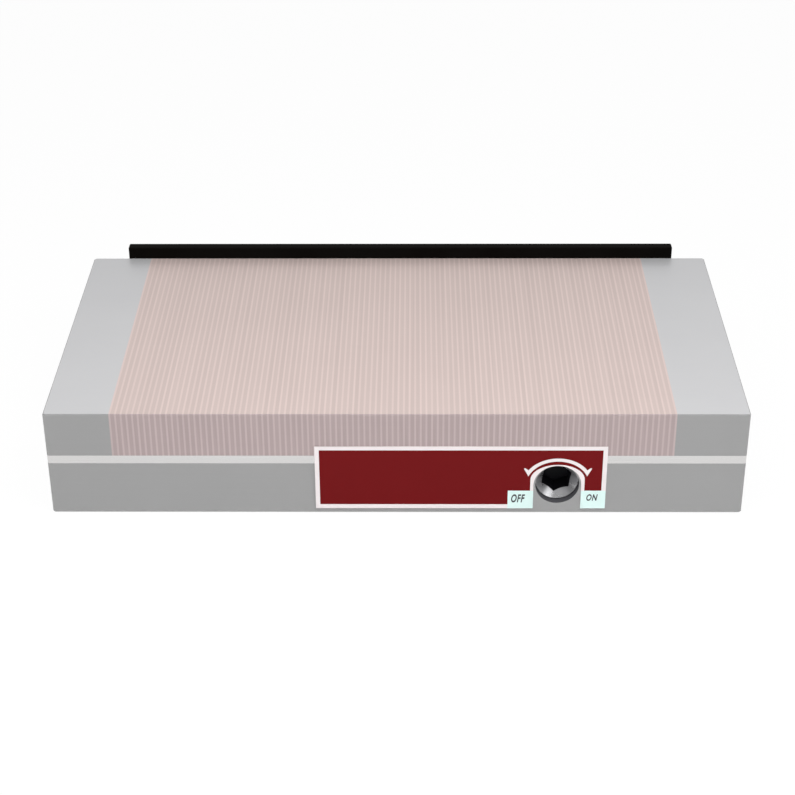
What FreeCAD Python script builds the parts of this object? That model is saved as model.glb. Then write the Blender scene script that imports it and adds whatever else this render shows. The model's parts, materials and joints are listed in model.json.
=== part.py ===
import FreeCAD, Part
import math
import os

# Permanent magnetic chuck for a surface grinder: 300 x 150 mm working face, 50 mm high.
# A laminated pole plate (steel poles, copper separators) stands on a non-magnetic spacer
# frame and a steel base housing. Inside, a magnet pack slides half a pole pitch sideways,
# driven by an eccentric pin on the hex-socket shaft in the front face. A black steel stop
# rail is bolted to the back through upright slots, so that its height can be set.
#
# Millimetres. +X to the right, +Y to the back, +Z up. The origin is the middle of the
# underside. Everything is drawn switched OFF, with the stop rail at its normal height.

V = FreeCAD.Vector
UP = V(0, 0, 1)
DOWN = V(0, 0, -1)
BACK = V(0, 1, 0)
FRONT = V(0, -1, 0)

# --- overall sizes ------------------------------------------------------------------
LENGTH = 300.0
DEPTH = 150.0
BASE_HEIGHT = 25.55
SPACER_HEIGHT = 3.85
PLATE_HEIGHT = 20.6
HALF_LENGTH = LENGTH / 2
HALF_DEPTH = DEPTH / 2
SPACER_TOP = BASE_HEIGHT + SPACER_HEIGHT
TABLE = SPACER_TOP + PLATE_HEIGHT
CORNER_CHAMFER = 0.6
BASE_EDGE_CHAMFER = 0.8
TABLE_EDGE_CHAMFER = 0.35

# --- pole plate ---------------------------------------------------------------------
POLE_COUNT = 100
POLE_THICKNESS = 1.6
SEPARATOR_THICKNESS = 0.8
PITCH = POLE_THICKNESS + SEPARATOR_THICKNESS
STACK_CENTRE_X = -1.5
STACK_LENGTH = POLE_COUNT * PITCH + SEPARATOR_THICKNESS
STACK_LEFT = STACK_CENTRE_X - STACK_LENGTH / 2
STACK_RIGHT = STACK_CENTRE_X + STACK_LENGTH / 2

# --- switching ----------------------------------------------------------------------
THROW = PITCH / 2
ECCENTRICITY = THROW / 2
SHAFT_X = 69.5
SHAFT_Z = 14.8

# --- magnet pack --------------------------------------------------------------------
PACK_POLE_THICKNESS = 1.2
PACK_MAGNET_THICKNESS = PITCH - PACK_POLE_THICKNESS
PACK_X = STACK_CENTRE_X - THROW
PACK_BOTTOM = 7.05
PACK_TOP = SPACER_TOP - 0.15
CARRIER_FLOOR = 4.0
CARRIER_RIM_TOP = 27.5
CARRIER_END_RIM = 3.0
CARRIER_HALF_DEPTH = 52.5
STACK_FRONT = -44.5
STACK_BACK = 48.5
PACK_STACK_LENGTH = (POLE_COUNT - 1) * PITCH + PACK_POLE_THICKNESS
CARRIER_LENGTH = PACK_STACK_LENGTH + 2 * CARRIER_END_RIM

# --- base housing -------------------------------------------------------------------
FLOOR = 5.0
POCKET_HALF_DEPTH = 53.0
POCKET_END_CLEARANCE = 0.8
POCKET_CENTRE_X = STACK_CENTRE_X - THROW / 2
POCKET_LENGTH = CARRIER_LENGTH + THROW + 2 * POCKET_END_CLEARANCE
POCKET_LEFT = POCKET_CENTRE_X - POCKET_LENGTH / 2
POCKET_RIGHT = POCKET_CENTRE_X + POCKET_LENGTH / 2
POCKET_CORNER_RADIUS = 6.0
CLAMP_SLOT_BOTTOM = 8.0
CLAMP_SLOT_HEIGHT = 10.0
CLAMP_SLOT_DEPTH = 8.0
CLAMP_SLOT_LENGTH = 110.0

# --- gaskets ------------------------------------------------------------------------
GASKET_OFFSET = 2.0
GASKET_WIDTH = 1.6
GASKET_DEPTH = 1.2

# --- drive shaft --------------------------------------------------------------------
BORE_RADIUS = 9.5
SHAFT_RADIUS = 9.44
SHAFT_FRONT = -HALF_DEPTH + 3.2
SHAFT_BACK = -POCKET_HALF_DEPTH - 0.2
SOCKET_ACROSS_FLATS = 12.0
SOCKET_DEPTH = 11.0
SOCKET_MOUTH_RADIUS = 9.0
SOCKET_TURN = 9.0
STOP_Y = -56.4
STOP_GROOVE_WIDTH = 4.0
STOP_GROOVE_RADIUS = 7.4
STOP_PIN_RADIUS = 1.9
STOP_PIN_FIT = 0.02
STOP_PIN_BOTTOM = 0.6
STOP_GROOVE_ANGLE = 211.0
CRANK_RADIUS = 4.0
CRANK_END = -45.5
DIE_HALF_WIDTH = 6.5
DIE_HALF_HEIGHT = 6.0
DIE_BORE_RADIUS = 4.05
DIE_FRONT = -52.8
DIE_BACK = -46.0

# --- drive block --------------------------------------------------------------------
DRIVE_X = SHAFT_X - ECCENTRICITY
BLOCK_FRONT = -52.6
BLOCK_HALF_WIDTH = 15.0
BLOCK_FLANGE_HALF_WIDTH = 22.0
BLOCK_BOTTOM = 8.0
BLOCK_FLANGE_BOTTOM = 18.0
BLOCK_TOP = 24.0
BLOCK_SLOT_CLEARANCE = 0.16
BLOCK_TOP_CLEARANCE = 0.3

# --- guides -------------------------------------------------------------------------
GUIDE_HALF_LENGTH = 112.0
GUIDE_WIDTH = 10.0
GUIDE_TOP = 9.0
GUIDE_Y = 34.0
GUIDE_CLEARANCE = 0.05

# --- fasteners (M6) -----------------------------------------------------------------
THREAD_RADIUS = 3.0
THREAD_CLEARANCE = 0.1
CLEARANCE_HOLE_RADIUS = 3.3
HEAD_ACROSS_FLATS = 10.0
HEAD_HEIGHT = 4.0
COUNTERBORE_RADIUS = 7.5
COUNTERBORE_DEPTH = 6.0
PLATE_BOLT_LENGTH = 33.0
PLATE_BOLT_X = 136.0
PLATE_BOLT_Y = 52.0
PLATE_HOLE_DEPTH = 11.0

# --- stop rail ----------------------------------------------------------------------
RAIL_LEFT = -132.85
RAIL_RIGHT = 134.1
RAIL_BOTTOM = 7.5
RAIL_TOP = TABLE + 5.8
RAIL_FRONT = HALF_DEPTH + 0.05
RAIL_BACK = HALF_DEPTH + 5.0
RAIL_DOWN_TRAVEL = 6.0
RAIL_UP_TRAVEL = 3.0
RAIL_SLOT_RADIUS = 3.3
RAIL_EDGE_CHAMFER = 0.4
RAIL_MIDDLE = (RAIL_LEFT + RAIL_RIGHT) / 2
RAIL_BOLT_X = (RAIL_MIDDLE - 90.0, RAIL_MIDDLE, RAIL_MIDDLE + 90.0)
RAIL_BOLT_Z = 17.0
RAIL_BOLT_LENGTH = 18.0
RAIL_HOLE_DEPTH = 14.0
RAIL_BOLT_SEAT = RAIL_BACK + 0.05

# --- nameplate ----------------------------------------------------------------------
NAMEPLATE_LEFT = -35.05
NAMEPLATE_RIGHT = 90.5
NAMEPLATE_BOTTOM = 2.85
NAMEPLATE_TOP = 34.1
NAMEPLATE_THICKNESS = 0.6
NOTCH_HALF_WIDTH = 10.3
NOTCH_RISE = BORE_RADIUS + 0.25


# --- shared shapes ------------------------------------------------------------------
def block(x0, x1, y0, y1, z0, z1):
    """Box between two corners."""
    return Part.makeBox(x1 - x0, y1 - y0, z1 - z0, V(x0, y0, z0))


def cylinder(radius, start, end):
    """Cylinder from one point to another."""
    return Part.makeCylinder(radius, (end - start).Length, start, end - start)


def upright_edges(shape):
    """The edges of a shape that run straight along Z."""
    return [e for e in shape.Edges if e.BoundBox.XLength + e.BoundBox.YLength < 1e-6]


def edges_at(shape, z):
    """The edges of a shape that lie flat at one height."""
    return [e for e in shape.Edges if abs(e.BoundBox.ZMin - z) + abs(e.BoundBox.ZMax - z) < 1e-6]


def rounded_block(x0, x1, y0, y1, z0, z1, radius):
    """Box with its four upright edges rounded."""
    solid = block(x0, x1, y0, y1, z0, z1)
    return solid.makeFillet(radius, upright_edges(solid))


def chuck_layer(z0, z1):
    """A full-size layer of the chuck with its four upright corners chamfered."""
    solid = block(-HALF_LENGTH, HALF_LENGTH, -HALF_DEPTH, HALF_DEPTH, z0, z1)
    return solid.makeChamfer(CORNER_CHAMFER, upright_edges(solid))


def pocket(z0, z1):
    """The hollow that the magnet pack moves in."""
    reach = POCKET_HALF_DEPTH
    return rounded_block(POCKET_LEFT, POCKET_RIGHT, -reach, reach, z0, z1, POCKET_CORNER_RADIUS)


def hex_prism(across_flats, start, along):
    """Hexagonal prism; its corners point up and down, or along X on an upright prism."""
    first = V(1, 0, 0) if abs(along.z) > along.Length / 2 else UP
    corner = first * (across_flats / math.sqrt(3))
    ring = [start + FreeCAD.Rotation(along, 60 * k).multVec(corner) for k in range(7)]
    return Part.Face(Part.makePolygon(ring)).extrude(along)


def placed(shape, point, direction):
    """A shape that was drawn along +Z at the origin, moved to a point and a direction."""
    moved = shape.copy()
    moved.Placement = FreeCAD.Placement(point, FreeCAD.Rotation(UP, direction))
    return moved


def hex_bolt(length):
    """Hexagon head bolt with its head's seat at the origin and its shank along +Z."""
    head = hex_prism(HEAD_ACROSS_FLATS, V(0, 0, 0), DOWN * HEAD_HEIGHT)
    return head.fuse(Part.makeCylinder(THREAD_RADIUS, length))


def on_shaft(y, offset=0.0):
    """A point on the shaft's axis, or on the crank pin's axis, in the OFF position."""
    return V(SHAFT_X - offset, y, SHAFT_Z)


def save(node, *solids):
    """Writes one node's solids to its own STEP file."""
    found = [s for shape in solids for s in shape.Solids]
    shape = found[0] if len(found) == 1 else Part.makeCompound(found)
    shape.exportStep(os.path.join("parts", node + ".step"))
    print(f"{node}: {len(found)} solids, {shape.Volume / 1000:.2f} cm3")


# --- pole plate, spacer and housing -------------------------------------------------
def plate_bolt_places():
    """Where the bolts that hold the pole plate come up through the housing."""
    return [V(x, y, 0) for x in (-PLATE_BOLT_X, PLATE_BOLT_X) for y in (-PLATE_BOLT_Y, PLATE_BOLT_Y)]


def plate_bolt_holes(radius, z0, z1):
    """One round hole for each pole-plate bolt."""
    return [cylinder(radius, p + UP * z0, p + UP * z1) for p in plate_bolt_places()]


def pole_plate_blank():
    """The whole pole plate with its ground edges and the tapped holes in its underside."""
    plate = chuck_layer(SPACER_TOP, TABLE)
    open_edges = [e for e in edges_at(plate, TABLE) if e.BoundBox.YMin < HALF_DEPTH - CORNER_CHAMFER / 2]
    plate = plate.makeChamfer(TABLE_EDGE_CHAMFER, open_edges)
    thread = THREAD_RADIUS + THREAD_CLEARANCE
    return plate.cut(plate_bolt_holes(thread, SPACER_TOP, SPACER_TOP + PLATE_HOLE_DEPTH))


def slice_plate(plate, x0, x1):
    """The slice of the pole plate between two upright planes."""
    return plate.common(block(x0, x1, -DEPTH, DEPTH, 0, 2 * TABLE))


def pole_plate():
    """Steel end blocks, and the brazed stack of steel poles and copper separators."""
    plate = pole_plate_blank()
    lefts = [STACK_LEFT + k * PITCH for k in range(POLE_COUNT + 1)]
    separators = [slice_plate(plate, x, x + SEPARATOR_THICKNESS) for x in lefts]
    poles = [slice_plate(plate, x + SEPARATOR_THICKNESS, x + PITCH) for x in lefts[:-1]]
    save("left_end_block", slice_plate(plate, -LENGTH, STACK_LEFT))
    save("right_end_block", slice_plate(plate, STACK_RIGHT, LENGTH))
    save("steel_poles", *poles)
    save("copper_separators", *separators)


def pocket_outline_block(z0, z1, grow):
    """Square-cornered block around the pocket, larger by a margin on every side."""
    reach = POCKET_HALF_DEPTH + grow
    return block(POCKET_LEFT - grow, POCKET_RIGHT + grow, -reach, reach, z0, z1)


def gasket_ring(z0, z1):
    """A flat ring that follows the pocket's outline."""
    outer = pocket_outline_block(z0, z1, GASKET_OFFSET + GASKET_WIDTH)
    return outer.cut(pocket_outline_block(z0, z1, GASKET_OFFSET))


def spacer_frame():
    """Non-magnetic frame between housing and pole plate, with a gasket in each face."""
    frame = chuck_layer(BASE_HEIGHT, SPACER_TOP)
    lower = gasket_ring(BASE_HEIGHT, BASE_HEIGHT + GASKET_DEPTH)
    upper = gasket_ring(SPACER_TOP - GASKET_DEPTH, SPACER_TOP)
    window = pocket(BASE_HEIGHT, SPACER_TOP)
    holes = plate_bolt_holes(CLEARANCE_HOLE_RADIUS, BASE_HEIGHT, SPACER_TOP)
    save("spacer_frame", frame.cut([window, lower, upper] + holes))
    save("lower_gasket", lower)
    save("upper_gasket", upper)


def clamp_slot(side):
    """The blind slot that a toe clamp of the machine table holds, in one end face."""
    radius = CLAMP_SLOT_HEIGHT / 2
    middle = CLAMP_SLOT_BOTTOM + radius
    half = CLAMP_SLOT_LENGTH / 2 - radius
    inner = side * (HALF_LENGTH - CLAMP_SLOT_DEPTH)
    outer = side * (HALF_LENGTH + 1)
    x0, x1 = min(inner, outer), max(inner, outer)
    ends = [cylinder(radius, V(x0, y, middle), V(x1, y, middle)) for y in (-half, half)]
    bar = block(x0, x1, -half, half, middle - radius, middle + radius)
    return bar.fuse(ends)


def shaft_bore():
    """The bore in the front wall that the drive shaft turns in."""
    return cylinder(BORE_RADIUS, on_shaft(-HALF_DEPTH), on_shaft(-POCKET_HALF_DEPTH + 1))


def base_housing():
    """Steel tray with the pack's pocket, the shaft's bore and every fastener's hole."""
    body = chuck_layer(0, BASE_HEIGHT)
    body = body.makeChamfer(BASE_EDGE_CHAMFER, edges_at(body, 0))
    thread = THREAD_RADIUS + THREAD_CLEARANCE
    cuts = [pocket(FLOOR, BASE_HEIGHT), shaft_bore(), clamp_slot(-1), clamp_slot(1)]
    cuts += plate_bolt_holes(CLEARANCE_HOLE_RADIUS, 0, BASE_HEIGHT)
    cuts += plate_bolt_holes(COUNTERBORE_RADIUS, 0, COUNTERBORE_DEPTH)
    pin = STOP_PIN_RADIUS + STOP_PIN_FIT
    cuts.append(cylinder(pin, V(SHAFT_X, STOP_Y, 0), V(SHAFT_X, STOP_Y, SHAFT_Z)))
    for x in RAIL_BOLT_X:
        start = V(x, HALF_DEPTH, RAIL_BOLT_Z)
        cuts.append(cylinder(thread, start, start + FRONT * RAIL_HOLE_DEPTH))
    save("base_housing", body.cut(cuts))


def plate_bolts():
    """The bolts that come up from below and hold housing, spacer and pole plate together."""
    bolt = hex_bolt(PLATE_BOLT_LENGTH)
    save("plate_bolts", *[placed(bolt, p + UP * COUNTERBORE_DEPTH, UP) for p in plate_bolt_places()])


# --- magnet pack --------------------------------------------------------------------
def drive_block_outline():
    """T-shaped outline of the drive block and of its seat in the carrier."""
    body = block(
        DRIVE_X - BLOCK_HALF_WIDTH,
        DRIVE_X + BLOCK_HALF_WIDTH,
        BLOCK_FRONT - 1,
        STACK_FRONT,
        BLOCK_BOTTOM - 1,
        BLOCK_TOP,
    )
    flange = block(
        DRIVE_X - BLOCK_FLANGE_HALF_WIDTH,
        DRIVE_X + BLOCK_FLANGE_HALF_WIDTH,
        BLOCK_FRONT - 1,
        STACK_FRONT,
        BLOCK_FLANGE_BOTTOM,
        BLOCK_TOP,
    )
    return body.fuse(flange)


def drive_block():
    """Steel block pressed into the pack, with the upright slot that the crank works in."""
    limits = block(-LENGTH, LENGTH, BLOCK_FRONT, STACK_FRONT, BLOCK_BOTTOM, BLOCK_TOP)
    body = drive_block_outline().common(limits).removeSplitter()
    reach = DIE_HALF_WIDTH + BLOCK_SLOT_CLEARANCE
    top = SHAFT_Z + ECCENTRICITY + DIE_HALF_HEIGHT + BLOCK_TOP_CLEARANCE
    save("drive_block", body.cut(block(DRIVE_X - reach, DRIVE_X + reach, -HALF_DEPTH, 0, 0, top)))


def pack_carrier():
    """Aluminium tray that holds the magnets and slides on the two guides."""
    half = CARRIER_LENGTH / 2
    stack = PACK_STACK_LENGTH / 2
    reach = CARRIER_HALF_DEPTH
    tray = block(PACK_X - half, PACK_X + half, -reach, reach, PACK_BOTTOM, CARRIER_RIM_TOP)
    tray = tray.makeChamfer(POCKET_CORNER_RADIUS, upright_edges(tray))
    well_floor = PACK_BOTTOM + CARRIER_FLOOR
    well = block(PACK_X - stack, PACK_X + stack, STACK_FRONT, STACK_BACK, well_floor, TABLE)
    seat_above = block(
        DRIVE_X - BLOCK_FLANGE_HALF_WIDTH,
        DRIVE_X + BLOCK_FLANGE_HALF_WIDTH,
        -HALF_DEPTH,
        STACK_FRONT,
        BLOCK_TOP,
        TABLE,
    )
    seat_below = block(
        DRIVE_X - BLOCK_HALF_WIDTH,
        DRIVE_X + BLOCK_HALF_WIDTH,
        -HALF_DEPTH,
        STACK_FRONT,
        0,
        BLOCK_BOTTOM,
    )
    cuts = [well, drive_block_outline(), seat_above, seat_below]
    for y in (-GUIDE_Y, GUIDE_Y):
        side = GUIDE_WIDTH / 2 + GUIDE_CLEARANCE
        cuts.append(block(-LENGTH, LENGTH, y - side, y + side, 0, GUIDE_TOP + GUIDE_CLEARANCE))
    save("pack_carrier", tray.cut(cuts))


def pack_stack():
    """Magnet bars and pole plates at the same pitch as the pole plate above."""
    left = PACK_X - PACK_STACK_LENGTH / 2
    bottom = PACK_BOTTOM + CARRIER_FLOOR
    poles = []
    magnets = []
    for k in range(POLE_COUNT):
        x0 = left + k * PITCH
        x1 = x0 + PACK_POLE_THICKNESS
        poles.append(block(x0, x1, STACK_FRONT, STACK_BACK, bottom, PACK_TOP))
        if k < POLE_COUNT - 1:
            x2 = x1 + PACK_MAGNET_THICKNESS
            magnets.append(block(x1, x2, STACK_FRONT, STACK_BACK, bottom, PACK_TOP))
    save("pack_poles", *poles)
    save("pack_magnets", *magnets)


def guides():
    """Bronze strips bonded to the housing's floor that carry and steer the magnet pack."""
    half = GUIDE_WIDTH / 2
    for name, y in (("front_guide", -GUIDE_Y), ("rear_guide", GUIDE_Y)):
        save(name, block(-GUIDE_HALF_LENGTH, GUIDE_HALF_LENGTH, y - half, y + half, FLOOR, GUIDE_TOP))


# --- drive --------------------------------------------------------------------------
def stop_groove():
    """The part-ring groove that lets the shaft turn half a turn on the stop pin."""
    front = on_shaft(STOP_Y - STOP_GROOVE_WIDTH / 2)
    ring = Part.makeCylinder(SHAFT_RADIUS + 1, STOP_GROOVE_WIDTH, front, BACK, STOP_GROOVE_ANGLE)
    ring = ring.cut(Part.makeCylinder(STOP_GROOVE_RADIUS, STOP_GROOVE_WIDTH, front, BACK)).Solids[0]
    middle = ring.CenterOfMass - front
    now = math.degrees(math.atan2(middle.x, middle.z))
    ring.rotate(front, BACK, 90 - now)
    return ring


def drive_shaft():
    """Shaft, set back in its bore, with the key's socket in front and the crank pin behind."""
    body = cylinder(SHAFT_RADIUS, on_shaft(SHAFT_FRONT), on_shaft(SHAFT_BACK))
    pin = cylinder(CRANK_RADIUS, on_shaft(SHAFT_BACK, ECCENTRICITY), on_shaft(CRANK_END, ECCENTRICITY))
    socket = hex_prism(SOCKET_ACROSS_FLATS, on_shaft(SHAFT_FRONT), BACK * SOCKET_DEPTH)
    socket.rotate(on_shaft(SHAFT_FRONT), BACK, SOCKET_TURN)
    inner = SOCKET_ACROSS_FLATS / 2
    mouth_depth = SOCKET_MOUTH_RADIUS - inner
    mouth = Part.makeCone(SOCKET_MOUTH_RADIUS, inner, mouth_depth, on_shaft(SHAFT_FRONT), BACK)
    save("drive_shaft", body.fuse(pin).cut([socket, mouth, stop_groove()]))


def die_block():
    """Bronze block on the crank pin that slides up and down in the drive block's slot."""
    x = SHAFT_X - ECCENTRICITY
    body = block(
        x - DIE_HALF_WIDTH,
        x + DIE_HALF_WIDTH,
        DIE_FRONT,
        DIE_BACK,
        SHAFT_Z - DIE_HALF_HEIGHT,
        SHAFT_Z + DIE_HALF_HEIGHT,
    )
    bore = cylinder(DIE_BORE_RADIUS, on_shaft(DIE_FRONT, ECCENTRICITY), on_shaft(DIE_BACK, ECCENTRICITY))
    save("die_block", body.cut(bore))


def stop_pin():
    """Hardened pin, pressed in from below: it keeps the shaft in and stops it at ON and OFF."""
    tip = V(SHAFT_X, STOP_Y, SHAFT_Z - STOP_GROOVE_RADIUS - 0.2)
    save("stop_pin", cylinder(STOP_PIN_RADIUS, V(SHAFT_X, STOP_Y, STOP_PIN_BOTTOM), tip))


# --- outside ------------------------------------------------------------------------
def rail_slot(x):
    """Upright slot that lets the rail move past its bolt."""
    low = RAIL_BOLT_Z - RAIL_UP_TRAVEL
    high = RAIL_BOLT_Z + RAIL_DOWN_TRAVEL
    bar = block(x - RAIL_SLOT_RADIUS, x + RAIL_SLOT_RADIUS, HALF_DEPTH, RAIL_BACK, low, high)
    ends = [cylinder(RAIL_SLOT_RADIUS, V(x, HALF_DEPTH, z), V(x, RAIL_BACK, z)) for z in (low, high)]
    return bar.fuse(ends)


def stop_rail():
    """Blackened steel strip against the back that stands proud of the working face."""
    rail = block(RAIL_LEFT, RAIL_RIGHT, RAIL_FRONT, RAIL_BACK, RAIL_BOTTOM, RAIL_TOP)
    rail = rail.makeChamfer(RAIL_EDGE_CHAMFER, edges_at(rail, RAIL_TOP) + upright_edges(rail))
    save("stop_rail", rail.cut([rail_slot(x) for x in RAIL_BOLT_X]))


def rail_bolts():
    """Bolts that clamp the rail to the housing's back wall."""
    bolt = hex_bolt(RAIL_BOLT_LENGTH)
    save("rail_bolts", *[placed(bolt, V(x, RAIL_BOLT_SEAT, RAIL_BOLT_Z), FRONT) for x in RAIL_BOLT_X])


def nameplate():
    """Thin plate on the front with a notch, open below and a low arch above, round the bore."""
    front = -HALF_DEPTH - NAMEPLATE_THICKNESS
    plate = block(NAMEPLATE_LEFT, NAMEPLATE_RIGHT, front, -HALF_DEPTH, NAMEPLATE_BOTTOM, NAMEPLATE_TOP)
    left = SHAFT_X - NOTCH_HALF_WIDTH
    right = SHAFT_X + NOTCH_HALF_WIDTH
    leg = block(left, right, front, -HALF_DEPTH, 0, SHAFT_Z)
    oval = Part.Ellipse(V(0, 0, 0), NOTCH_HALF_WIDTH, NOTCH_RISE).toShape()
    arch = Part.Face(Part.Wire(oval)).extrude(UP * NAMEPLATE_THICKNESS)
    arch = placed(arch, V(SHAFT_X, front, SHAFT_Z), BACK)
    save("nameplate", plate.cut([leg, arch]))


os.makedirs("parts", exist_ok=True)
base_housing()
spacer_frame()
pole_plate()
plate_bolts()
guides()
pack_carrier()
pack_stack()
drive_block()
drive_shaft()
die_block()
stop_pin()
stop_rail()
rail_bolts()
nameplate()
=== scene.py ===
import json
import math

import bmesh
import bpy
from mathutils import Matrix, Vector

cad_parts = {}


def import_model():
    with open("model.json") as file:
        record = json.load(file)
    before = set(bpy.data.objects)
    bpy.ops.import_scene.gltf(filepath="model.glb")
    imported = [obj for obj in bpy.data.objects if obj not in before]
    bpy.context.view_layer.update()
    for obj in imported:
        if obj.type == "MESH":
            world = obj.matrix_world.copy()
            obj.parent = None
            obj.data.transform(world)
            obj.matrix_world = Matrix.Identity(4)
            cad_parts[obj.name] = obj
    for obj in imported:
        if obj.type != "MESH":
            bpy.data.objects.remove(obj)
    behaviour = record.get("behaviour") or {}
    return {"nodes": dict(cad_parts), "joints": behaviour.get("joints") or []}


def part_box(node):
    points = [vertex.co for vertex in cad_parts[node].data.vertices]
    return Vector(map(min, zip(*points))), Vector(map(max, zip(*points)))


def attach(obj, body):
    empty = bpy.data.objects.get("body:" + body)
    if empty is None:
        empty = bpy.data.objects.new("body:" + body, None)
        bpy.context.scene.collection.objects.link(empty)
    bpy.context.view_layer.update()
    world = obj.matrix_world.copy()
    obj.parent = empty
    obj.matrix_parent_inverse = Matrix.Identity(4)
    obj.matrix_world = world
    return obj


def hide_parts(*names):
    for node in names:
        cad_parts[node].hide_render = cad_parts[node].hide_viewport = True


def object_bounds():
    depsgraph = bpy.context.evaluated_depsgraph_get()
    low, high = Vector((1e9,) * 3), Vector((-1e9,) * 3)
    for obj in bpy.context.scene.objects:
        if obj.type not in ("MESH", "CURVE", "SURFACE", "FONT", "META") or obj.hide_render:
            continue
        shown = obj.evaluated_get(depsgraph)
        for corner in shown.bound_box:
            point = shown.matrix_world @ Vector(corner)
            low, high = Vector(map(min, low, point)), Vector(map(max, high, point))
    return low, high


# A permanent magnetic chuck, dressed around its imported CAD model. The CAD solids carry the
# ground steel, copper and black parts. The nameplate, the socket shaft and the bolts are
# modelled here in more detail and replace their plain solids.
#
# Metres, in the CAD frame: +X to the right, +Y to the back, +Z up.

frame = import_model()
cad_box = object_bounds()

MM = 0.001

# --- nameplate (mm) -----------------------------------------------------------------
PLATE_RIM = 1.9
PLATE_RIM_TOP = 1.7
PLATE_RIM_BOTTOM = 2.0
NOTCH_HALF_WIDTH = 10.3
NOTCH_RISE = 9.75
NOTCH_RIM_HALF_WIDTH = 11.7
NOTCH_RIM_SPRING = 2.7
NOTCH_RIM_RISE = 7.6
OFF_BOX_WIDTH = 11.0
BOX_TOP = 11.9
SHEET_DEPTH = 0.22
FIELD_DEPTH = 0.14
RIM_DEPTH = 0.08
BOX_DEPTH = 0.04
RIM_BEVEL = 0.03
PRINT_BEVEL = 0.02
ARROW_INNER = (13.6, 12.0)
ARROW_INNER_END = 23.0
ARROW_OUTER = (15.3, 13.5)
ARROW_OUTER_END = 38.0
ARROW_HEAD = ((12.6, 7.5), (14.2, 8.7), (14.6, 8.3), (12.6, 4.4))
OFF_SIZE = (6.0, 4.2)
ON_SIZE = (4.9, 3.4)
OFF_PLACE = (0.41, 0.57)
ON_PLACE = (0.46, 0.62)
LETTER_SHEAR = 0.25
LETTER_WEIGHT = 0.3
LETTER_DRAFT = 10.0
LETTER_SPACING = 1.15

# --- drive shaft (mm) ---------------------------------------------------------------
SOCKET_ACROSS_FLATS = 12.0
SOCKET_CORNER = 6.85
SOCKET_DEPTH = 11.0
SOCKET_TURN = math.radians(9.0)
SOCKET_MOUTH_RADIUS = 9.0
DRILL_RADIUS = 5.2
DRILL_DEPTH = 1.5
DRILL_POINT = 0.2
SOCKET_FOOT = 0.2
SHAFT_RADIUS = 9.44
BORE_RADIUS = 9.5
SHAFT_EDGE = 0.25
SHAFT_BACK_Y = -53.2
GROOVE_Y = -56.4
GROOVE_HALF_WIDTH = 2.0
GROOVE_RADIUS = 7.4
GROOVE_ANGLE = 211.0
GROOVE_MIDDLE = math.radians(270.0)
CRANK_RADIUS = 4.0
CRANK_OFFSET = 0.6
SHAFT_STEPS = 120
SOCKET_BANDS = 4

# --- bolts (mm) ---------------------------------------------------------------------
BOLT_ACROSS_FLATS = 10.0
BOLT_HEAD = 4.0
BOLT_CLEAR = 0.02
BOLT_CIRCLE = 0.94
BOLT_CHAMFER = math.radians(30)
BOLT_DISH = (0.3, 0.86)
BOLT_DISH_DEPTH = 0.12
BOLT_COLLAR = 0.3
BOLT_PLAIN_SHARE = 0.35
BOLT_TIP = 0.6
BOLT_SHANK_RADIUS = 3.0
BOLT_CORE_RADIUS = 2.6
BOLT_STEPS = 48
BOLT_LENGTHS = {"plate_bolts": 33.0, "rail_bolts": 18.0}

# --- finish: lines and clouds as noise cells per metre, relief in metres ------------
# EDGE_SHADE: the eased edges' colour is the side colour made darker, painted shade.
EDGE_SHADE = 0.9
GROUND_LINES = ((14.0, 1500.0), (70.0, 7000.0))
OXIDE_LINES = ((20.0, 1800.0), (90.0, 7000.0))
GROUND_PATCHES = 22.0
TOOL_MARKS = (2600.0, 420.0, 2600.0)
TURNED_RINGS = 5000.0
RELIEF = 0.00002
DEEPER_RELIEF = 0.00003
BORE_BLEND = 0.1
SMOOTH_ANGLE = 25.0
MERGE = 1e-7

# --- stage (metres and degrees, lamps in watts) -------------------------------------
CAMERA_PLACE = Vector((0.00809, -0.75033, 0.45272))
CAMERA_PITCH = 30.285
CAMERA_YAW = -0.629
CAMERA_ROLL = -0.307
CAMERA_LENS = 84.21
SENSOR = 36.0
KEY_PLACE = (0.0, -0.22, 0.52)
KEY_AIM = (0.0, -0.22, 0.0)
KEY_SIZE = (1.1, 0.2)
KEY_POWER = 4.5
FRONT_PLACE = (0.9, -0.7, 0.8)
FRONT_AIM = (0.0, 0.0, 0.03)
FRONT_SIZE = (0.8, 0.6)
FRONT_POWER = 2.6
FLOOR_HALF = 6.0
FLOOR_GAP = 0.00005
FLOOR_GLOW = 0.96
AMBIENT_FRONT = 0.56
AMBIENT_BACK = 0.22
MIRROR_LOW = 0.55
MIRROR_LEFT = 0.6
MIRROR_RISE = (0.40, 0.52)
WHITE = (1, 1, 1, 1)


# --- places from the frame ----------------------------------------------------------
def node_mm(node):
    """A node's box corners in mm."""
    low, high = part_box(node)
    return low / MM, high / MM


def socket_centre():
    """The shaft's axis in the front view, in mm."""
    joint = next(j for j in frame["joints"] if j["name"] == "switch_turn")
    return joint["pos_m"][0] / MM, joint["pos_m"][2] / MM


# --- node trees ---------------------------------------------------------------------
def add_node(tree, kind, inputs=None, **settings):
    """A new shader node with its settings, and its inputs linked or given a value."""
    made = tree.nodes.new(kind)
    for key, value in settings.items():
        setattr(made, key, value)
    for key, value in (inputs or {}).items():
        if isinstance(value, bpy.types.NodeSocket):
            tree.links.new(value, made.inputs[key])
        else:
            made.inputs[key].default_value = value
    return made


def math_node(tree, operation, *values):
    """The output of a Math node over one to three values or sockets."""
    return add_node(tree, "ShaderNodeMath", dict(enumerate(values)), operation=operation).outputs[0]


def map_range(tree, value, start, end, low=0.0, high=1.0):
    """A value between start and end as one between low and high."""
    inputs = {"Value": value, "From Min": start, "From Max": end, "To Min": low, "To Max": high}
    return add_node(tree, "ShaderNodeMapRange", inputs).outputs[0]


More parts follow.
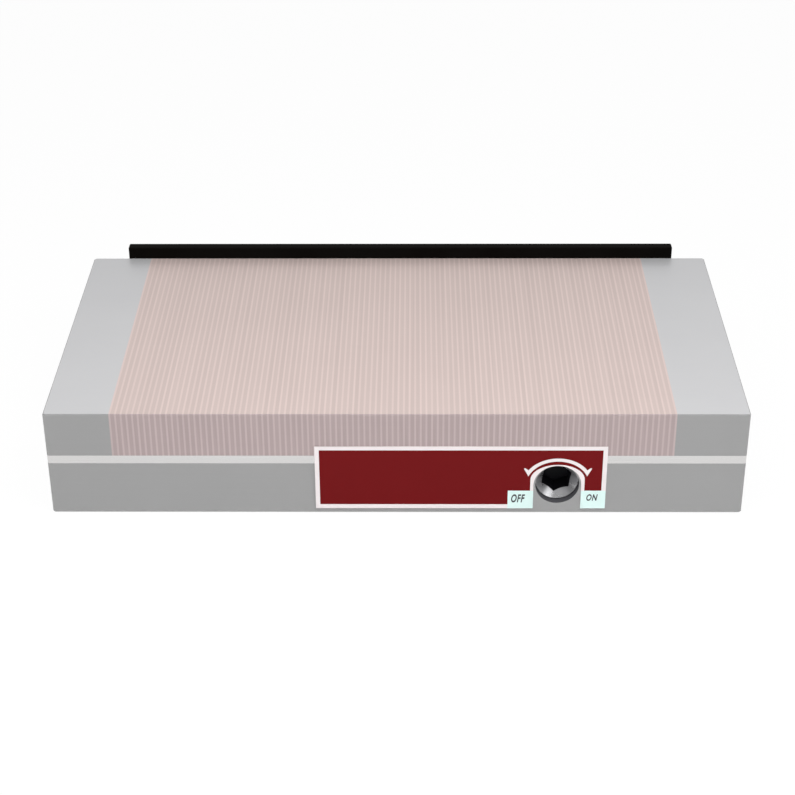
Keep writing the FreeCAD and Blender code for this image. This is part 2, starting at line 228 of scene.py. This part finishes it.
def mix_colour(tree, factor, first, second, blend="MIX"):
    """The output of a Mix node between two colours."""
    made = add_node(tree, "ShaderNodeMix", data_type="RGBA", blend_type=blend)
    for index, value in ((0, factor), (6, first), (7, second)):
        if isinstance(value, bpy.types.NodeSocket):
            tree.links.new(value, made.inputs[index])
        else:
            made.inputs[index].default_value = value
    return made.outputs[2]


def stretched_noise(tree, scale, detail=3.0, roughness=0.55):
    """Noise over the object's own metres, stretched by a scale for each axis."""
    place = add_node(tree, "ShaderNodeTexCoord")
    mapped = add_node(tree, "ShaderNodeMapping", {"Vector": place.outputs["Object"], "Scale": scale})
    inputs = {"Vector": mapped.outputs[0], "Scale": 1.0, "Detail": detail, "Roughness": roughness}
    return add_node(tree, "ShaderNodeTexNoise", inputs).outputs[0]


def facing(tree, axis, low, high):
    """1 where the surface faces along an axis, either way, and 0 where it doesn't."""
    normal = add_node(tree, "ShaderNodeNewGeometry").outputs["True Normal"]
    parts = add_node(tree, "ShaderNodeSeparateXYZ", {0: normal})
    return map_range(tree, math_node(tree, "ABSOLUTE", parts.outputs[axis]), low, high)


def grain(tree, layers):
    """Grinding lines: along X on the top, front and back, and along Y on the ends."""
    lines = []
    for along, across in layers:
        along_x = stretched_noise(tree, (along, across, across))
        along_y = stretched_noise(tree, (across, along, across))
        mixed = add_node(tree, "ShaderNodeMix", data_type="FLOAT")
        tree.links.new(facing(tree, "X", 0.6, 0.8), mixed.inputs[0])
        tree.links.new(along_x, mixed.inputs[2])
        tree.links.new(along_y, mixed.inputs[3])
        lines.append(mixed.outputs[0])
    return math_node(tree, "MULTIPLY_ADD", lines[0], 0.5, math_node(tree, "MULTIPLY", lines[1], 0.5))


def from_shaft_axis(tree):
    """Distance from the drive shaft's axis, in metres."""
    x, z = socket_centre()
    place = add_node(tree, "ShaderNodeTexCoord").outputs["Object"]
    parts = add_node(tree, "ShaderNodeSeparateXYZ", {0: place}).outputs
    aside = math_node(tree, "SUBTRACT", parts["X"], x * MM)
    above = math_node(tree, "SUBTRACT", parts["Z"], z * MM)
    square = math_node(tree, "MULTIPLY_ADD", aside, aside, math_node(tree, "MULTIPLY", above, above))
    return math_node(tree, "SQRT", square)


def varied(tree, source, middle, spread):
    """A number that swings around a middle as a noise between 0 and 1 does."""
    swing = math_node(tree, "SUBTRACT", source, 0.5)
    return math_node(tree, "MULTIPLY_ADD", swing, spread, middle)


def grey(tree, value):
    """A number as a grey colour."""
    return add_node(tree, "ShaderNodeCombineColor", {0: value, 1: value, 2: value}).outputs[0]


def tinted(tree, colour, level):
    """A colour made lighter and darker by a number near 1."""
    return mix_colour(tree, 1.0, colour, grey(tree, level), "MULTIPLY")


def new_material(name, metallic=0.0, specular=0.5):
    """An empty Principled material, its tree and its shader."""
    material = bpy.data.materials.new(name)
    material.use_nodes = True
    tree = material.node_tree
    shader = tree.nodes["Principled BSDF"]
    shader.inputs["Metallic"].default_value = metallic
    shader.inputs["Specular IOR Level"].default_value = specular
    return material, tree, shader


def add_bump(tree, shader, height, distance, strength):
    """Fine relief from a height between 0 and 1."""
    inputs = {"Height": height, "Distance": distance, "Strength": strength}
    bump = add_node(tree, "ShaderNodeBump", inputs)
    tree.links.new(bump.outputs[0], shader.inputs["Normal"])


# --- materials ----------------------------------------------------------------------
def ground_metal(name, top, side, metallic, roughness, contrast=0.10, strips=0.0, bore=None):
    """Surface-ground metal with fine lines, painted light and shade: the top painted lighter than the
    sides, the eased edges and the bore painted darker.
    """
    material, tree, shader = new_material(name, metallic)
    lines = grain(tree, GROUND_LINES)
    patches = stretched_noise(tree, (GROUND_PATCHES,) * 3, detail=4.0)
    # Painted shade: the eased edges take a darker copy of the side colour.
    edge = [channel * EDGE_SHADE for channel in side]
    colour = mix_colour(tree, facing(tree, "Z", 0.3, 0.5), (*side, 1), (*edge, 1))
    # Painted light: faces turned up take the lighter top colour over the darker side colour.
    colour = mix_colour(tree, facing(tree, "Z", 0.8, 0.95), colour, (*top, 1))
    level = varied(tree, lines, 1.0, contrast)
    level = math_node(tree, "MULTIPLY", level, varied(tree, patches, 1.0, 0.06))
    if strips:
        island = add_node(tree, "ShaderNodeNewGeometry").outputs["Random Per Island"]
        level = math_node(tree, "MULTIPLY", level, varied(tree, island, 1.0, strips))
    colour = tinted(tree, colour, level)
    # Painted shade: the bore's wall round the shaft turns near black, except where it faces front or
    # back.
    if bore:
        end = (BORE_RADIUS + BORE_BLEND) * MM
        outside = map_range(tree, from_shaft_axis(tree), BORE_RADIUS * MM, end)
        outside = math_node(tree, "MAXIMUM", outside, facing(tree, "Y", 0.5, 0.8))
        colour = mix_colour(tree, outside, (*bore, 1), colour)
    tree.links.new(colour, shader.inputs["Base Color"])
    tree.links.new(varied(tree, lines, roughness, 0.22), shader.inputs["Roughness"])
    add_bump(tree, shader, lines, RELIEF, 0.35)
    return material


def machined_metal(name, colour, roughness, metallic=0.9):
    """Turned or milled metal: tiny tool marks and faint stains."""
    material, tree, shader = new_material(name, metallic)
    marks = stretched_noise(tree, TOOL_MARKS)
    stains = stretched_noise(tree, (160.0, 160.0, 160.0), detail=5.0)
    level = varied(tree, marks, 1.0, 0.16)
    level = math_node(tree, "MULTIPLY", level, varied(tree, stains, 1.0, 0.25))
    tree.links.new(tinted(tree, (*colour, 1), level), shader.inputs["Base Color"])
    tree.links.new(varied(tree, stains, roughness, 0.25), shader.inputs["Roughness"])
    add_bump(tree, shader, marks, RELIEF, 0.4)
    return material


def turned_metal(name, colour, roughness):
    """Lathe-turned metal: fine rings round the shaft's axis and faint stains."""
    material, tree, shader = new_material(name, 0.9)
    inputs = {"W": from_shaft_axis(tree), "Scale": TURNED_RINGS, "Detail": 3.0}
    rings = add_node(tree, "ShaderNodeTexNoise", inputs, noise_dimensions="1D")
    stains = stretched_noise(tree, (260.0, 260.0, 260.0), detail=5.0)
    level = varied(tree, rings.outputs[0], 1.0, 0.30)
    level = math_node(tree, "MULTIPLY", level, varied(tree, stains, 1.0, 0.7))
    tree.links.new(tinted(tree, (*colour, 1), level), shader.inputs["Base Color"])
    tree.links.new(varied(tree, stains, roughness, 0.3), shader.inputs["Roughness"])
    add_bump(tree, shader, rings.outputs[0], DEEPER_RELIEF, 0.4)
    return material


def black_oxide(name, colour, rubbed, roughness, specular):
    """Blackened steel: near black, faintly cloudy, with fine lines and a rubbed sheen."""
    material, tree, shader = new_material(name, 0.0, specular)
    lines = grain(tree, OXIDE_LINES)
    clouds = stretched_noise(tree, (45.0, 45.0, 45.0), detail=5.0)
    colour = mix_colour(tree, map_range(tree, clouds, 0.35, 0.75), (*colour, 1), (*rubbed, 1))
    colour = tinted(tree, colour, varied(tree, lines, 1.0, 0.5))
    tree.links.new(colour, shader.inputs["Base Color"])
    tree.links.new(varied(tree, clouds, roughness, 0.3), shader.inputs["Roughness"])
    add_bump(tree, shader, lines, DEEPER_RELIEF, 0.4)
    return material


def enamel(name, colour, roughness, specular, cloud=0.12):
    """Fired enamel or printed paint: an even coat with a slight orange peel."""
    material, tree, shader = new_material(name, 0.0, specular)
    clouds = stretched_noise(tree, (60.0, 60.0, 60.0), detail=4.0)
    peel = stretched_noise(tree, (900.0, 900.0, 900.0), detail=2.0)
    level = varied(tree, clouds, 1.0, cloud)
    level = math_node(tree, "MULTIPLY", level, varied(tree, peel, 1.0, cloud / 2))
    tree.links.new(tinted(tree, (*colour, 1), level), shader.inputs["Base Color"])
    tree.links.new(varied(tree, clouds, roughness, 0.2), shader.inputs["Roughness"])
    add_bump(tree, shader, peel, RELIEF, 0.3)
    return material


def moulded_rubber(name, colour):
    """Matt rubber with a fine grain."""
    material, tree, shader = new_material(name, 0.0, 0.3)
    speckle = stretched_noise(tree, (1500.0, 1500.0, 1500.0))
    shade = tinted(tree, (*colour, 1), varied(tree, speckle, 1.0, 0.5))
    tree.links.new(shade, shader.inputs["Base Color"])
    tree.links.new(varied(tree, speckle, 0.75, 0.2), shader.inputs["Roughness"])
    add_bump(tree, shader, speckle, 0.00005, 0.5)
    return material


def floor_material():
    """White floor that stays almost white to the eye and in reflections, and takes a shadow."""
    material = bpy.data.materials.new("studio_floor")
    material.use_nodes = True
    tree = material.node_tree
    tree.nodes.clear()
    paper = stretched_noise(tree, (300.0, 300.0, 300.0))
    shade = grey(tree, varied(tree, paper, 0.93, 0.02))
    matt = add_node(tree, "ShaderNodeBsdfDiffuse", {"Color": shade})
    glow = add_node(tree, "ShaderNodeEmission", {"Color": WHITE, "Strength": 1.0})
    share = math_node(tree, "MULTIPLY", seen_directly(tree), FLOOR_GLOW)
    both = add_node(tree, "ShaderNodeMixShader", {0: share, 1: matt.outputs[0], 2: glow.outputs[0]})
    output = add_node(tree, "ShaderNodeOutputMaterial")
    tree.links.new(both.outputs[0], output.inputs[0])
    return material


def seen_directly(tree):
    """1 for camera, glossy and transmission rays, 0 for the rays that light the object."""
    path = add_node(tree, "ShaderNodeLightPath").outputs
    glossy = math_node(tree, "MAXIMUM", path["Is Camera Ray"], path["Is Glossy Ray"])
    return math_node(tree, "MAXIMUM", glossy, path["Is Transmission Ray"])


# --- meshes -------------------------------------------------------------------------
def finished(name, mesh, material, body, replaced, smooth=False, second=None):
    """Puts a mesh in the scene as one piece on a body, smooth when asked but for its sharp edges."""
    piece = bpy.data.objects.new(name, mesh)
    bpy.context.scene.collection.objects.link(piece)
    mesh.materials.append(material)
    if second:
        mesh.materials.append(second)
    if smooth:
        mesh.shade_smooth()
        mesh.set_sharp_from_angle(angle=math.radians(SMOOTH_ANGLE))
    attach(piece, body)
    if replaced:
        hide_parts(replaced)


def lofted(name, rings, place, second=0):
    """A closed mesh through rings, fanned shut at both ends; its first bands may take slot 1."""
    work = bmesh.new()
    loops = [[work.verts.new(place @ Vector(point)) for point in ring] for ring in rings]
    count = len(rings[0])
    for band, (low, high) in enumerate(zip(loops, loops[1:])):
        for k in range(count):
            after = (k + 1) % count
            face = work.faces.new((low[k], low[after], high[after], high[k]))
            face.material_index = 1 if band < second else 0
    for loop in (loops[0], loops[-1]):
        middle = sum((v.co for v in loop), Vector()) / count
        centre = work.verts.new(middle)
        for k in range(count):
            face = work.faces.new((loop[k], loop[(k + 1) % count], centre))
            face.material_index = 1 if second and loop is loops[0] else 0
    bmesh.ops.remove_doubles(work, verts=work.verts, dist=MERGE)
    bmesh.ops.recalc_face_normals(work, faces=work.faces)
    mesh = bpy.data.meshes.new(name)
    work.to_mesh(mesh)
    work.free()
    return mesh


def ring(radius, depth, steps, aside=0.0):
    """Points round an axis, in metres. Radius and depth are numbers or functions of the angle."""
    points = []
    for k in range(steps):
        angle = 2 * math.pi * k / steps
        r = radius(angle) if callable(radius) else radius
        z = depth(angle) if callable(depth) else depth
        points.append((r * math.cos(angle) * MM, (aside + r * math.sin(angle)) * MM, z * MM))
    return points


def hex_radius(across_flats, most=None, turn=0.0):
    """Distance from the axis to a hexagon's side, or to its eased corner; a corner at -turn."""
    def radius(angle):
        turned = (angle + turn) % (math.pi / 3) - math.pi / 6
        side = across_flats / 2 / math.cos(turned)
        return min(side, most) if most else side
    return radius


def flat_mesh(name, outlines, y_back, y_front, bevel=0.0):
    """A thin sheet in the XZ plane from closed outlines in mm; inner outlines are holes."""
    curve = bpy.data.curves.new(name, "CURVE")
    curve.dimensions = "2D"
    curve.fill_mode = "BOTH"
    thickness = y_back - y_front
    curve.extrude = (thickness / 2 - bevel) * MM
    curve.bevel_depth = bevel * MM
    curve.bevel_resolution = 1
    curve.offset = -bevel * MM
    for outline in outlines:
        spline = curve.splines.new("POLY")
        spline.points.add(len(outline) - 1)
        for point, (x, z) in zip(spline.points, outline):
            point.co = (x * MM, z * MM, 0, 1)
        spline.use_cyclic_u = True
    return upright_mesh(name, curve, (y_back + y_front) / 2)


def upright_mesh(name, curve, y):
    """The mesh of a flat curve or text, stood up to face the front, with its middle at y mm."""
    holder = bpy.data.objects.new(name + "_curve", curve)
    mesh = bpy.data.meshes.new_from_object(holder)
    bpy.data.objects.remove(holder)
    mesh.transform(Matrix.Translation((0, y * MM, 0)) @ Matrix.Rotation(math.pi / 2, 4, "X"))
    work = bmesh.new()
    work.from_mesh(mesh)
    bmesh.ops.remove_doubles(work, verts=work.verts, dist=MERGE)
    bmesh.ops.dissolve_degenerate(work, edges=work.edges, dist=MERGE)
    bmesh.ops.recalc_face_normals(work, faces=work.faces)
    work.to_mesh(mesh)
    work.free()
    mesh.name = name
    return mesh


def arch(centre, half_width, rise, start=180.0, end=0.0, steps=40):
    """Points on a half oval in mm, from one parameter angle to another in degrees."""
    points = []
    for k in range(steps + 1):
        angle = math.radians(start + (end - start) * k / steps)
        points.append((centre[0] + half_width * math.cos(angle), centre[1] + rise * math.sin(angle)))
    return points


# --- nameplate ----------------------------------------------------------------------
def notched_outline(low, high, centre):
    """A rectangle with a notch, open below and with a low arch above."""
    right = [(centre[0] + NOTCH_HALF_WIDTH, low.z), (high.x, low.z), (high.x, high.z)]
    left = [(low.x, high.z), (low.x, low.z), (centre[0] - NOTCH_HALF_WIDTH, low.z)]
    return right + left + arch(centre, NOTCH_HALF_WIDTH, NOTCH_RISE)


def field_outline(low, high, centre):
    """The red field: inside the rim, clear of the two boxes and of the notch's edge."""
    reach = NOTCH_RIM_HALF_WIDTH
    spring = (centre[0], centre[1] + NOTCH_RIM_SPRING)
    off_left = centre[0] - NOTCH_HALF_WIDTH - OFF_BOX_WIDTH
    floor_z = low.z + PLATE_RIM_BOTTOM
    top = high.z - PLATE_RIM_TOP
    points = [
        (low.x + PLATE_RIM, floor_z),
        (off_left, floor_z),
        (off_left, BOX_TOP),
        (centre[0] - reach, BOX_TOP),
    ]
    points += arch(spring, reach, NOTCH_RIM_RISE)
    points += [
        (centre[0] + reach, BOX_TOP),
        (high.x - PLATE_RIM, BOX_TOP),
        (high.x - PLATE_RIM, top),
        (low.x + PLATE_RIM, top),
    ]
    return points


def arrow_outline(centre):
    """A low arch over the socket that ends in a point and one outer barb on each side."""
    right = [(centre[0] + x, centre[1] + z) for x, z in ARROW_HEAD]
    left = [(centre[0] - x, centre[1] + z) for x, z in ARROW_HEAD]
    outer = arch(centre, *ARROW_OUTER, ARROW_OUTER_END, 180 - ARROW_OUTER_END)
    inner = arch(centre, *ARROW_INNER, 180 - ARROW_INNER_END, ARROW_INNER_END)
    return outer + left + inner + right[::-1]


def letters(name, words, middle, size, y_back, y_front, material):
    """Raised lettering that faces the front, of a given width and height round a place."""
    text = bpy.data.curves.new(name, "FONT")
    text.body = words
    text.size = LETTER_DRAFT * MM
    text.space_character = LETTER_SPACING
    text.extrude = (y_back - y_front) / 2 * MM
    text.offset = LETTER_WEIGHT * MM
    text.shear = LETTER_SHEAR
    mesh = upright_mesh(name, text, (y_back + y_front) / 2)
    points = [v.co for v in mesh.vertices]
    for axis, place, length in ((0, middle[0], size[0]), (2, middle[1], size[1])):
        low = min(p[axis] for p in points)
        high = max(p[axis] for p in points)
        for p in points:
            p[axis] = (place + ((p[axis] - low) / (high - low) - 0.5) * length) * MM
    finished(name, mesh, material, "chuck_body", None)


def nameplate(white, pale, red, ink):
    """Thin plate: enamelled red field, white rim, switch arrow, and the two ends of its travel."""
    low, high = node_mm("nameplate")
    centre = socket_centre()
    front = low.y
    sheet = front + SHEET_DEPTH
    outline = notched_outline(low, high, centre)
    field = field_outline(low, high, centre)
    mesh = flat_mesh("nameplate_sheet", [outline], high.y, sheet)
    finished("nameplate_sheet", mesh, white, "chuck_body", "nameplate")
    mesh = flat_mesh("nameplate_rim", [outline, field], sheet, front + RIM_DEPTH, RIM_BEVEL)
    finished("nameplate_rim", mesh, white, "chuck_body", None)
    mesh = flat_mesh("nameplate_field", [field], sheet, front + FIELD_DEPTH)
    finished("nameplate_field", mesh, red, "chuck_body", None)
    arrow = arrow_outline(centre)
    mesh = flat_mesh("switch_arrow", [arrow], front + FIELD_DEPTH, front + RIM_DEPTH, PRINT_BEVEL)
    finished("switch_arrow", mesh, white, "chuck_body", None)
    off_right = centre[0] - NOTCH_HALF_WIDTH
    off_left = off_right - OFF_BOX_WIDTH
    on_left = centre[0] + NOTCH_HALF_WIDTH
    boxes = (
        ("off_box", "OFF", off_left, off_right, OFF_SIZE, OFF_PLACE),
        ("on_box", "ON", on_left, high.x, ON_SIZE, ON_PLACE),
    )
    for name, words, x0, x1, size, place in boxes:
        square = [(x0, low.z), (x1, low.z), (x1, BOX_TOP), (x0, BOX_TOP)]
        mesh = flat_mesh(name, [square], front + RIM_DEPTH, front + BOX_DEPTH, PRINT_BEVEL)
        finished(name, mesh, pale, "chuck_body", None)
        middle = (x0 + (x1 - x0) * place[0], low.z + (BOX_TOP - low.z) * place[1])
        letters(name + "_letters", words, middle, size, front + BOX_DEPTH, front, ink)


# --- drive shaft --------------------------------------------------------------------
def drive_shaft(material, inside):
    """Shaft with a hexagon socket and its conical mouth, the stop groove and the crank pin."""
    low, high = node_mm("drive_shaft")
    x, z = socket_centre()
    front = low.y
    hexagon = hex_radius(SOCKET_ACROSS_FLATS, SOCKET_CORNER, SOCKET_TURN)
    steps = SHAFT_STEPS

    def depth(y):
        return y - front

    def mouth(angle):
        return SOCKET_MOUTH_RADIUS - hexagon(angle)

    def groove(angle):
        away = abs((angle - GROOVE_MIDDLE + math.pi) % (2 * math.pi) - math.pi)
        return GROOVE_RADIUS if away < math.radians(GROOVE_ANGLE / 2) else SHAFT_RADIUS

    back = depth(SHAFT_BACK_Y)
    groove_front = depth(GROOVE_Y - GROOVE_HALF_WIDTH)
    groove_back = depth(GROOVE_Y + GROOVE_HALF_WIDTH)
    end = depth(high.y)
    rings = [
        ring(DRILL_POINT, SOCKET_DEPTH + DRILL_DEPTH, steps),
        ring(DRILL_RADIUS, SOCKET_DEPTH, steps),
        ring(lambda a: hexagon(a) - SOCKET_FOOT, SOCKET_DEPTH, steps),
        ring(hexagon, SOCKET_DEPTH - SOCKET_FOOT, steps),
        ring(hexagon, mouth, steps),
        ring(SOCKET_MOUTH_RADIUS, 0, steps),
        ring(SHAFT_RADIUS - SHAFT_EDGE, 0, steps),
        ring(SHAFT_RADIUS, SHAFT_EDGE, steps),
        ring(SHAFT_RADIUS, groove_front, steps),
        ring(groove, groove_front, steps),
        ring(groove, groove_back, steps),
        ring(SHAFT_RADIUS, groove_back, steps),
        ring(SHAFT_RADIUS, back - SHAFT_EDGE, steps),
        ring(SHAFT_RADIUS - SHAFT_EDGE, back, steps),
        ring(CRANK_RADIUS, back, steps, CRANK_OFFSET),
        ring(CRANK_RADIUS, end - SHAFT_EDGE, steps, CRANK_OFFSET),
        ring(CRANK_RADIUS - SHAFT_EDGE, end, steps, CRANK_OFFSET),
    ]
    turn = Matrix(((0, -1, 0, 0), (0, 0, 1, 0), (1, 0, 0, 0), (0, 0, 0, 1)))
    place = Matrix.Translation((x * MM, front * MM, z * MM)) @ turn
    # Painted shade: the socket's inside and drill point take the near-black second material.
    mesh = lofted("socket_shaft", rings, place, SOCKET_BANDS)
    finished("socket_shaft", mesh, material, "switch_shaft", "drive_shaft", True, inside)


# --- bolts --------------------------------------------------------------------------
def bolt_rings(length):
    """Hex bolt from the top of its head, at 0, down to the end of its shank."""
    hexagon = hex_radius(BOLT_ACROSS_FLATS)
    flat = BOLT_ACROSS_FLATS / 2 * BOLT_CIRCLE
    slope = math.tan(BOLT_CHAMFER)
    collar = BOLT_HEAD - BOLT_COLLAR
    seat = BOLT_HEAD - BOLT_CLEAR

    def crown(angle):
        return (hexagon(angle) - flat) * slope

    def foot(angle):
        return collar - (hexagon(angle) - flat) * slope / 2

    steps = BOLT_STEPS
    rings = [
        ring(flat * BOLT_DISH[0], BOLT_DISH_DEPTH, steps),
        ring(flat * BOLT_DISH[1], BOLT_DISH_DEPTH, steps),
        ring(flat, 0, steps),
        ring(hexagon, crown, steps),
        ring(hexagon, foot, steps),
        ring(flat, collar, steps),
        ring(flat, seat, steps),
        ring(BOLT_SHANK_RADIUS, seat, steps),
    ]
    total = BOLT_HEAD + length
    for level in (BOLT_HEAD + length * BOLT_PLAIN_SHARE, total - BOLT_TIP):
        rings.append(ring(BOLT_SHANK_RADIUS, level, steps))
    rings.append(ring(BOLT_CORE_RADIUS, total, steps))
    return rings


def bolt(name, node, place, material):
    """One detailed bolt at a place, standing for a node that holds several."""
    mesh = lofted(name, bolt_rings(BOLT_LENGTHS[node]), place)
    finished(name, mesh, material, "chuck_body", node, True)


def plate_bolts(material):
    """The four bolts under the chuck, at the corners of their node's box."""
    low, high = node_mm("plate_bolts")
    reach = BOLT_ACROSS_FLATS / 2
    corner = BOLT_ACROSS_FLATS / math.sqrt(3)
    for i, x in enumerate((low.x + corner, high.x - corner)):
        for j, y in enumerate((low.y + reach, high.y - reach)):
            place = Matrix.Translation((x * MM, y * MM, low.z * MM))
            bolt(f"plate_bolt_{2 * i + j + 1}", "plate_bolts", place, material)


def rail_bolts(material):
    """The three bolts behind the stop rail."""
    low, high = node_mm("rail_bolts")
    corner = BOLT_ACROSS_FLATS / math.sqrt(3)
    z = (low.z + high.z) / 2
    left = low.x + corner
    right = high.x - corner
    turn = Matrix.Rotation(math.pi / 2, 4, "X")
    for k, x in enumerate((left, (left + right) / 2, right)):
        place = Matrix.Translation((x * MM, high.y * MM, z * MM)) @ turn
        bolt(f"rail_bolt_{k + 1}", "rail_bolts", place, material)


# --- stage --------------------------------------------------------------------------
def camera():
    """The camera at the photograph's viewing angle."""
    data = bpy.data.cameras.new("camera")
    data.lens = CAMERA_LENS
    data.sensor_width = SENSOR
    data.clip_end = 50.0
    made = bpy.data.objects.new("camera", data)
    turn = Matrix.Rotation(math.radians(-CAMERA_YAW), 4, "Z")
    turn = turn @ Matrix.Rotation(math.radians(90 - CAMERA_PITCH), 4, "X")
    turn = turn @ Matrix.Rotation(math.radians(CAMERA_ROLL), 4, "Z")
    made.matrix_world = Matrix.Translation(CAMERA_PLACE) @ turn
    bpy.context.scene.collection.objects.link(made)
    bpy.context.scene.camera = made


def softbox(name, place, target, size, power, reflected):
    """A soft rectangular lamp aimed at a point, with or without its image in the metal."""
    data = bpy.data.lights.new(name, "AREA")
    data.shape = "RECTANGLE"
    data.size, data.size_y = size
    data.energy = power
    made = bpy.data.objects.new(name, data)
    made.location = place
    made.rotation_euler = (Vector(target) - Vector(place)).to_track_quat("-Z", "Y").to_euler()
    made.visible_glossy = reflected
    bpy.context.scene.collection.objects.link(made)


def floor():
    """A wide floor just under the chuck."""
    work = bmesh.new()
    level = cad_box[0][2] - FLOOR_GAP
    corners = ((-1, -1), (1, -1), (1, 1), (-1, 1))
    work.faces.new([work.verts.new((x * FLOOR_HALF, y * FLOOR_HALF, level)) for x, y in corners])
    mesh = bpy.data.meshes.new("studio_floor")
    work.to_mesh(mesh)
    work.free()
    mesh.materials.append(floor_material())
    made = bpy.data.objects.new("studio_floor", mesh)
    bpy.context.scene.collection.objects.link(made)


def world():
    """White to the camera, graded in reflections, and a soft light, stronger from the front."""
    made = bpy.data.worlds.new("studio")
    bpy.context.scene.world = made
    made.use_nodes = True
    tree = made.node_tree
    tree.nodes.clear()
    white = add_node(tree, "ShaderNodeBackground", {"Color": WHITE, "Strength": 1.0})
    place = add_node(tree, "ShaderNodeTexCoord").outputs["Generated"]
    towards = add_node(tree, "ShaderNodeSeparateXYZ", {0: place}).outputs
    ambient = map_range(tree, towards["Y"], -1.0, 1.0, AMBIENT_FRONT, AMBIENT_BACK)
    light = add_node(tree, "ShaderNodeBackground", {"Color": WHITE, "Strength": ambient})
    rising = map_range(tree, towards["Z"], *MIRROR_RISE, MIRROR_LOW, 1.0)
    across = map_range(tree, towards["X"], -1.0, 1.0, MIRROR_LEFT, 1.0)
    shade = math_node(tree, "MULTIPLY", rising, across)
    mirror = add_node(tree, "ShaderNodeBackground", {"Color": WHITE, "Strength": shade})
    path = add_node(tree, "ShaderNodeLightPath").outputs
    seen = {0: path["Is Camera Ray"], 1: mirror.outputs[0], 2: white.outputs[0]}
    seen = add_node(tree, "ShaderNodeMixShader", seen)
    both = {0: seen_directly(tree), 1: light.outputs[0], 2: seen.outputs[0]}
    both = add_node(tree, "ShaderNodeMixShader", both)
    output = add_node(tree, "ShaderNodeOutputWorld")
    tree.links.new(both.outputs[0], output.inputs[0])


def dress(node, material):
    """Gives a CAD node its material."""
    mesh = frame["nodes"][node].data
    if mesh.materials:
        for index in range(len(mesh.materials)):
            mesh.materials[index] = material
    else:
        mesh.materials.append(material)


# Painted light: the steel, poles and copper each get a lighter colour for their tops and a darker one
# for their sides.
steel_lit_top = (0.59, 0.59, 0.60)
steel_shaded_side = (0.318, 0.318, 0.318)
# Painted shade for the bore's wall round the shaft.
steel_bore_shade = (0.11, 0.11, 0.12)
steel = ground_metal("ground_steel", steel_lit_top, steel_shaded_side, 0.45, 0.42, bore=steel_bore_shade)
poles = ground_metal("pole_steel", (0.600, 0.492, 0.463), (0.395, 0.319, 0.316), 0.4, 0.45, strips=0.05)
copper = ground_metal("copper", (0.680, 0.557, 0.528), (0.478, 0.390, 0.390), 0.4, 0.42, strips=0.05)
stainless = ground_metal("polished_stainless", (0.68, 0.67, 0.665), (0.68, 0.67, 0.665), 1.0, 0.25, 0.05)
shaft_steel = turned_metal("shaft_steel", (0.42, 0.42, 0.43), 0.30)
# Painted shade: the socket's inside in the shaft gets this near-black colour.
socket_painted_shade = black_oxide("socket_painted_shade", (0.010, 0.010, 0.013), (0.02, 0.02, 0.024), 0.45, 0.1)
hardened = machined_metal("hardened_steel", (0.45, 0.45, 0.46), 0.30)
bronze = machined_metal("bronze", (0.62, 0.42, 0.20), 0.35)
aluminium = machined_metal("aluminium", (0.72, 0.73, 0.74), 0.40)
magnet = machined_metal("magnet", (0.09, 0.09, 0.10), 0.60, 0.2)
black = black_oxide("black_rail", (0.0030, 0.0024, 0.0020), (0.0045, 0.0040, 0.0036), 0.5, 0.02)
bolt_black = black_oxide("black_oxide_steel", (0.02, 0.02, 0.021), (0.04, 0.04, 0.04), 0.38, 0.5)
rubber = moulded_rubber("black_rubber", (0.03, 0.03, 0.03))
red_enamel = enamel("red_enamel", (0.140, 0.0056, 0.0068), 0.34, 0.05)
white_enamel = enamel("white_enamel", (0.74, 0.69, 0.695), 0.35, 0.3, 0.05)
pale_enamel = enamel("pale_enamel", (0.63, 0.80, 0.775), 0.35, 0.3, 0.05)
ink_enamel = enamel("ink_enamel", (0.04, 0.045, 0.05), 0.45, 0.3)

DRESS = {
    "base_housing": steel,
    "left_end_block": steel,
    "right_end_block": steel,
    "steel_poles": poles,
    "pack_poles": poles,
    "copper_separators": copper,
    "spacer_frame": stainless,
    "lower_gasket": rubber,
    "upper_gasket": rubber,
    "front_guide": bronze,
    "rear_guide": bronze,
    "die_block": bronze,
    "pack_carrier": aluminium,
    "pack_magnets": magnet,
    "drive_block": hardened,
    "stop_pin": hardened,
    "stop_rail": black,
}
for node_name, finish in DRESS.items():
    dress(node_name, finish)
nameplate(white_enamel, pale_enamel, red_enamel, ink_enamel)
drive_shaft(shaft_steel, socket_painted_shade)
plate_bolts(bolt_black)
rail_bolts(bolt_black)

camera()
world()
floor()
softbox("key_light", KEY_PLACE, KEY_AIM, KEY_SIZE, KEY_POWER, reflected=False)
softbox("front_light", FRONT_PLACE, FRONT_AIM, FRONT_SIZE, FRONT_POWER, reflected=True)
bpy.context.scene.view_settings.view_transform = "Standard"
